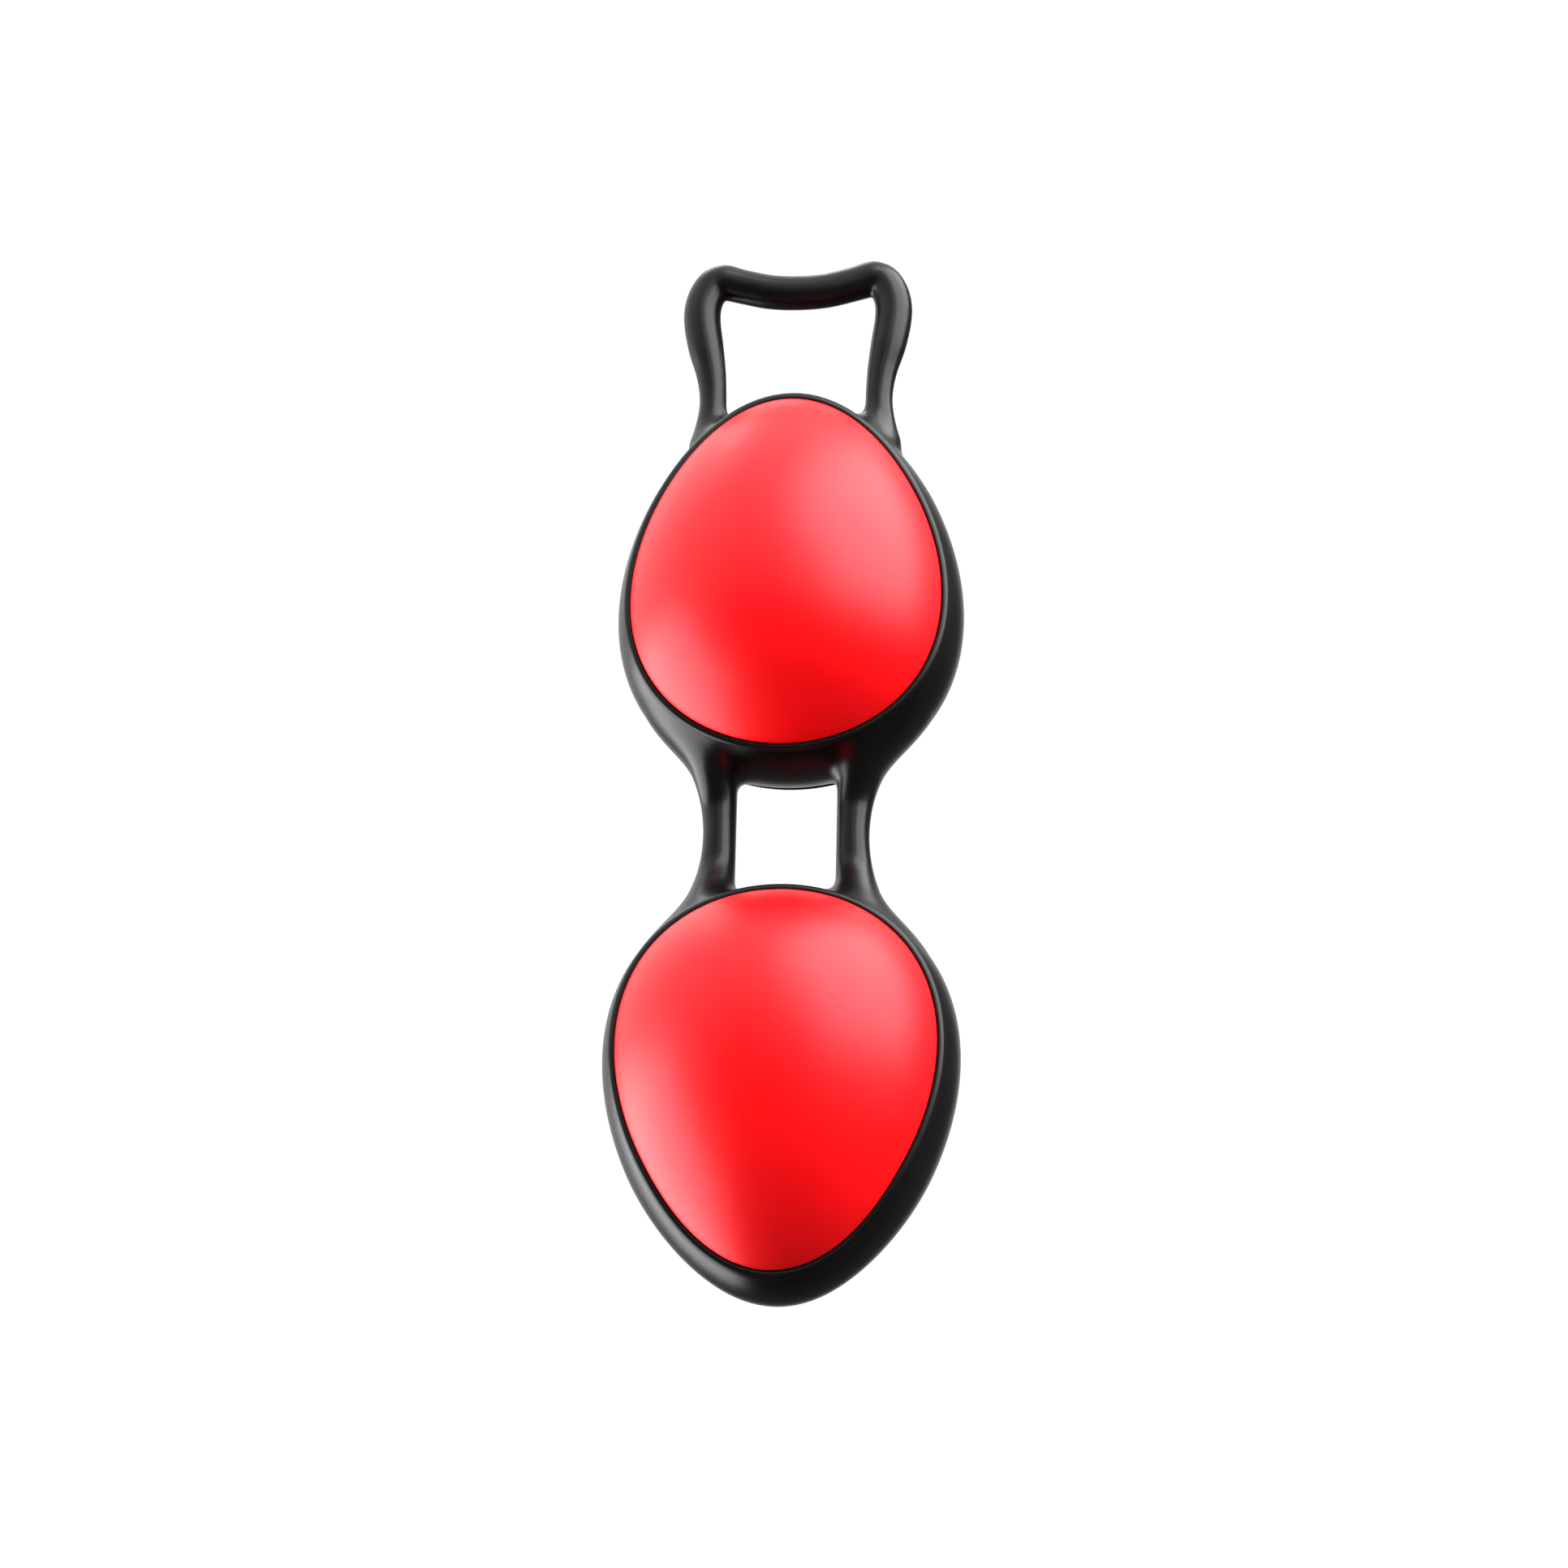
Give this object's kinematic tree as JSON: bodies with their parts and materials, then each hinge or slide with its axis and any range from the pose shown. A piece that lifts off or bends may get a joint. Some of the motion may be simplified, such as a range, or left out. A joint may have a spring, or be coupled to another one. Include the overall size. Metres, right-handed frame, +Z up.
{
  "type": "weighted pelvic floor trainer",
  "caption": "Egg-shaped weighted pods with soft-touch covers, held end to end in a flexible elastomer carrier with a pull loop; a loose ball rolls inside each pod",
  "frame": {"origin": "under the middle of the pull loop's crossbar, where a finger or hook carries the hanging trainer", "axes": "+Z up along the long axis, +X to the right across both struts, -Y towards the front domes"},
  "size_m": [0.0362, 0.0342, 0.1143],
  "materials": {
    "carrier": "satin moulded elastomer",
    "cover": "soft-touch satin with a very fine grain",
    "capsule": "natural moulded plastic",
    "seal": "matte",
    "weight": "polished bearing steel"
  },
  "bodies": {
    "loop": {"pull_loop": "carrier"},
    "upper_pod": {"upper_carrier_ring": "carrier", "upper_front_cover": "cover", "upper_rear_cover": "cover", "upper_front_capsule": "capsule", "upper_rear_capsule": "capsule", "upper_seam_seal": "seal"},
    "upper_weight": {"upper_weight_ball": "weight"},
    "link_upper": {"left_strut_upper_half": "carrier", "right_strut_upper_half": "carrier"},
    "link_lower": {"left_strut_lower_half": "carrier", "right_strut_lower_half": "carrier"},
    "lower_pod": {"lower_carrier_ring": "carrier", "lower_front_cover": "cover", "lower_rear_cover": "cover", "lower_front_capsule": "capsule", "lower_rear_capsule": "capsule", "lower_seam_seal": "seal"},
    "lower_weight": {"lower_weight_ball": "weight"}
  },
  "joints": [
    {"name": "loop_fold", "type": "hinge", "parent": "loop", "child": "upper_pod", "pos_m": [0, 0, -0.0115], "axis": [1, 0, 0], "range_deg": [-90, 90], "stiffness_Nm_per_rad": 0.008},
    {"name": "link_fold_upper", "type": "hinge", "parent": "upper_pod", "child": "link_upper", "pos_m": [0, 0, -0.0564], "axis": [1, 0, 0], "range_deg": [-42, 42], "stiffness_Nm_per_rad": 0.02},
    {"name": "link_twist", "type": "hinge", "parent": "link_upper", "child": "link_lower", "pos_m": [0, 0, -0.0604], "axis": [0, 0, 1], "range_deg": [-35, 35], "stiffness_Nm_per_rad": 0.015},
    {"name": "link_fold_lower", "type": "hinge", "parent": "link_lower", "child": "lower_pod", "pos_m": [0, 0, -0.0644], "axis": [1, 0, 0], "range_deg": [-42, 42], "stiffness_Nm_per_rad": 0.02},
    {"name": "upper_weight_roll", "type": "slide", "parent": "upper_pod", "child": "upper_weight", "axis": [0, 0, 1], "range_m": [0, 0.0115]},
    {"name": "lower_weight_roll", "type": "slide", "parent": "lower_pod", "child": "lower_weight", "axis": [0, 0, 1], "range_m": [0, 0.0115]}
  ],
  "couplings": [
    {"joint": "link_fold_lower", "follows": "link_fold_upper", "ratio": 1}
  ]
}
